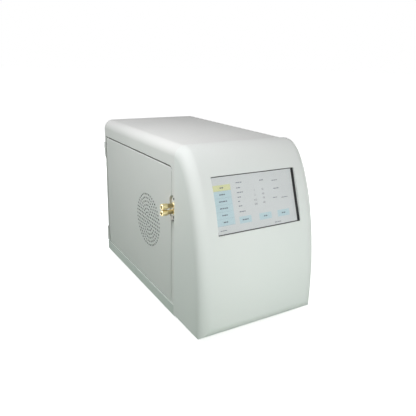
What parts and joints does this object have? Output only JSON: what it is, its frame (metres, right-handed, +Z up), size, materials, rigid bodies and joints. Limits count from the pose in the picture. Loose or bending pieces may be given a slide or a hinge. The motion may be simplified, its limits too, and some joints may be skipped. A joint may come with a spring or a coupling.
{
  "type": "total organic carbon analyzer",
  "caption": "Bench-top water analyzer in a folded steel case with a curved front, a tilted touch screen, a hinged service door with a round vent, and two brass water ports.",
  "frame": {"origin": "on the floor, under the middle of the overall box", "axes": "+Z up; -Y out of the screen; -X out of the service door"},
  "size_m": [0.3026, 0.5282, 0.368],
  "materials": {
    "case_paint": "fine-textured off-white powder coat",
    "tray_paint": "fine-textured off-white powder coat",
    "moulding": "satin moulded white",
    "black_plastic": "fine matt",
    "rocker_plastic": "semi-gloss",
    "screen_glass": "clear touch panel",
    "display_case": "plain sheet",
    "circuit_board": "green solder mask",
    "zinc_sheet": "zinc-plated",
    "steel": "satin stainless",
    "motor_steel": "plated motor can",
    "brass": "turned, pale",
    "grey_plastic": "moulded grey",
    "clear_plastic": "clear cover",
    "fluoropolymer": "waxy white",
    "lamp_glass": "clear quartz",
    "silicone": "translucent",
    "ribbon": "flat ribbed cable",
    "rubber": "matt black"
  },
  "bodies": {
    "casing": {"base_tray": "tray_paint", "hood": "case_paint", "front_bezel": "moulding", "rear_panel": "case_paint", "front_bulkhead": "zinc_sheet", "chassis_plate": "zinc_sheet", "screen_mask": "black_plastic", "touch_glass": "screen_glass", "lcd_module": "display_case", "display_board": "circuit_board", "port_plate": "steel", "port_inlet": "brass", "port_nut_inlet": "brass", "port_outlet": "brass", "port_nut_outlet": "brass", "hinge_frame_leaf_lower": "steel", "hinge_frame_leaf_upper": "steel", "hinge_pin_lower": "steel", "hinge_pin_upper": "steel", "mains_inlet": "black_plastic", "switch_housing": "black_plastic", "data_port": "steel", "pump_body": "grey_plastic", "pump_cover": "clear_plastic", "pump_hose": "silicone", "pump_motor": "motor_steel", "reactor_tube": "steel", "uv_lamp": "lamp_glass", "reactor_cap_rear": "fluoropolymer", "reactor_cap_front": "fluoropolymer", "reactor_clamp_rear": "steel", "reactor_clamp_front": "steel", "cell_bracket": "zinc_sheet", "conductivity_cell_in": "grey_plastic", "conductivity_cell_out": "grey_plastic", "tube_inlet_to_cell": "silicone", "tube_cell_to_reactor": "silicone", "tube_reactor_to_cell": "silicone", "tube_cell_to_pump": "silicone", "tube_pump_to_outlet": "silicone", "power_supply": "zinc_sheet", "lamp_ballast": "grey_plastic", "control_board": "circuit_board", "display_ribbon": "ribbon", "door_catch": "grey_plastic", "foot_rear_left": "rubber", "foot_front_left": "rubber", "foot_rear_right": "rubber", "foot_front_right": "rubber"},
    "door": {"side_door": "case_paint", "hinge_door_leaf_lower": "steel", "hinge_door_leaf_upper": "steel", "fan_frame": "black_plastic"},
    "fan": {"fan_rotor": "black_plastic"},
    "pump_spider": {"pump_rotor": "grey_plastic", "pump_shaft": "steel"},
    "roller_1": {"pump_roller_1": "fluoropolymer"},
    "roller_2": {"pump_roller_2": "fluoropolymer"},
    "roller_3": {"pump_roller_3": "fluoropolymer"},
    "rocker": {"switch_rocker": "rocker_plastic"}
  },
  "joints": [
    {"name": "door_hinge", "type": "hinge", "parent": "casing", "child": "door", "pos_m": [-0.1296, 0.25091, 0.177], "axis": [0, 0, -1], "range_deg": [0, 110]},
    {"name": "fan_spin", "type": "hinge", "parent": "door", "child": "fan", "pos_m": [-0.1127, -0.01409, 0.1785], "axis": [1, 0, 0], "continuous": true},
    {"name": "pump_spin", "type": "hinge", "parent": "casing", "child": "pump_spider", "pos_m": [-0.0262, -0.05809, 0.098], "axis": [1, 0, 0], "continuous": true},
    {"name": "roller_1_spin", "type": "hinge", "parent": "pump_spider", "child": "roller_1", "pos_m": [-0.0262, -0.05809, 0.113], "axis": [1, 0, 0], "continuous": true},
    {"name": "roller_2_spin", "type": "hinge", "parent": "pump_spider", "child": "roller_2", "pos_m": [-0.0262, -0.0451, 0.0905], "axis": [1, 0, 0], "continuous": true},
    {"name": "roller_3_spin", "type": "hinge", "parent": "pump_spider", "child": "roller_3", "pos_m": [-0.0262, -0.07108, 0.0905], "axis": [1, 0, 0], "continuous": true},
    {"name": "rocker_tilt", "type": "hinge", "parent": "casing", "child": "rocker", "pos_m": [0.0383, 0.25441, 0.068], "axis": [1, 0, 0], "range_deg": [-16, 0]}
  ],
  "couplings": [
    {"joint": "roller_1_spin", "follows": "pump_spin", "ratio": -3.381},
    {"joint": "roller_2_spin", "follows": "pump_spin", "ratio": -3.381},
    {"joint": "roller_3_spin", "follows": "pump_spin", "ratio": -3.381}
  ]
}
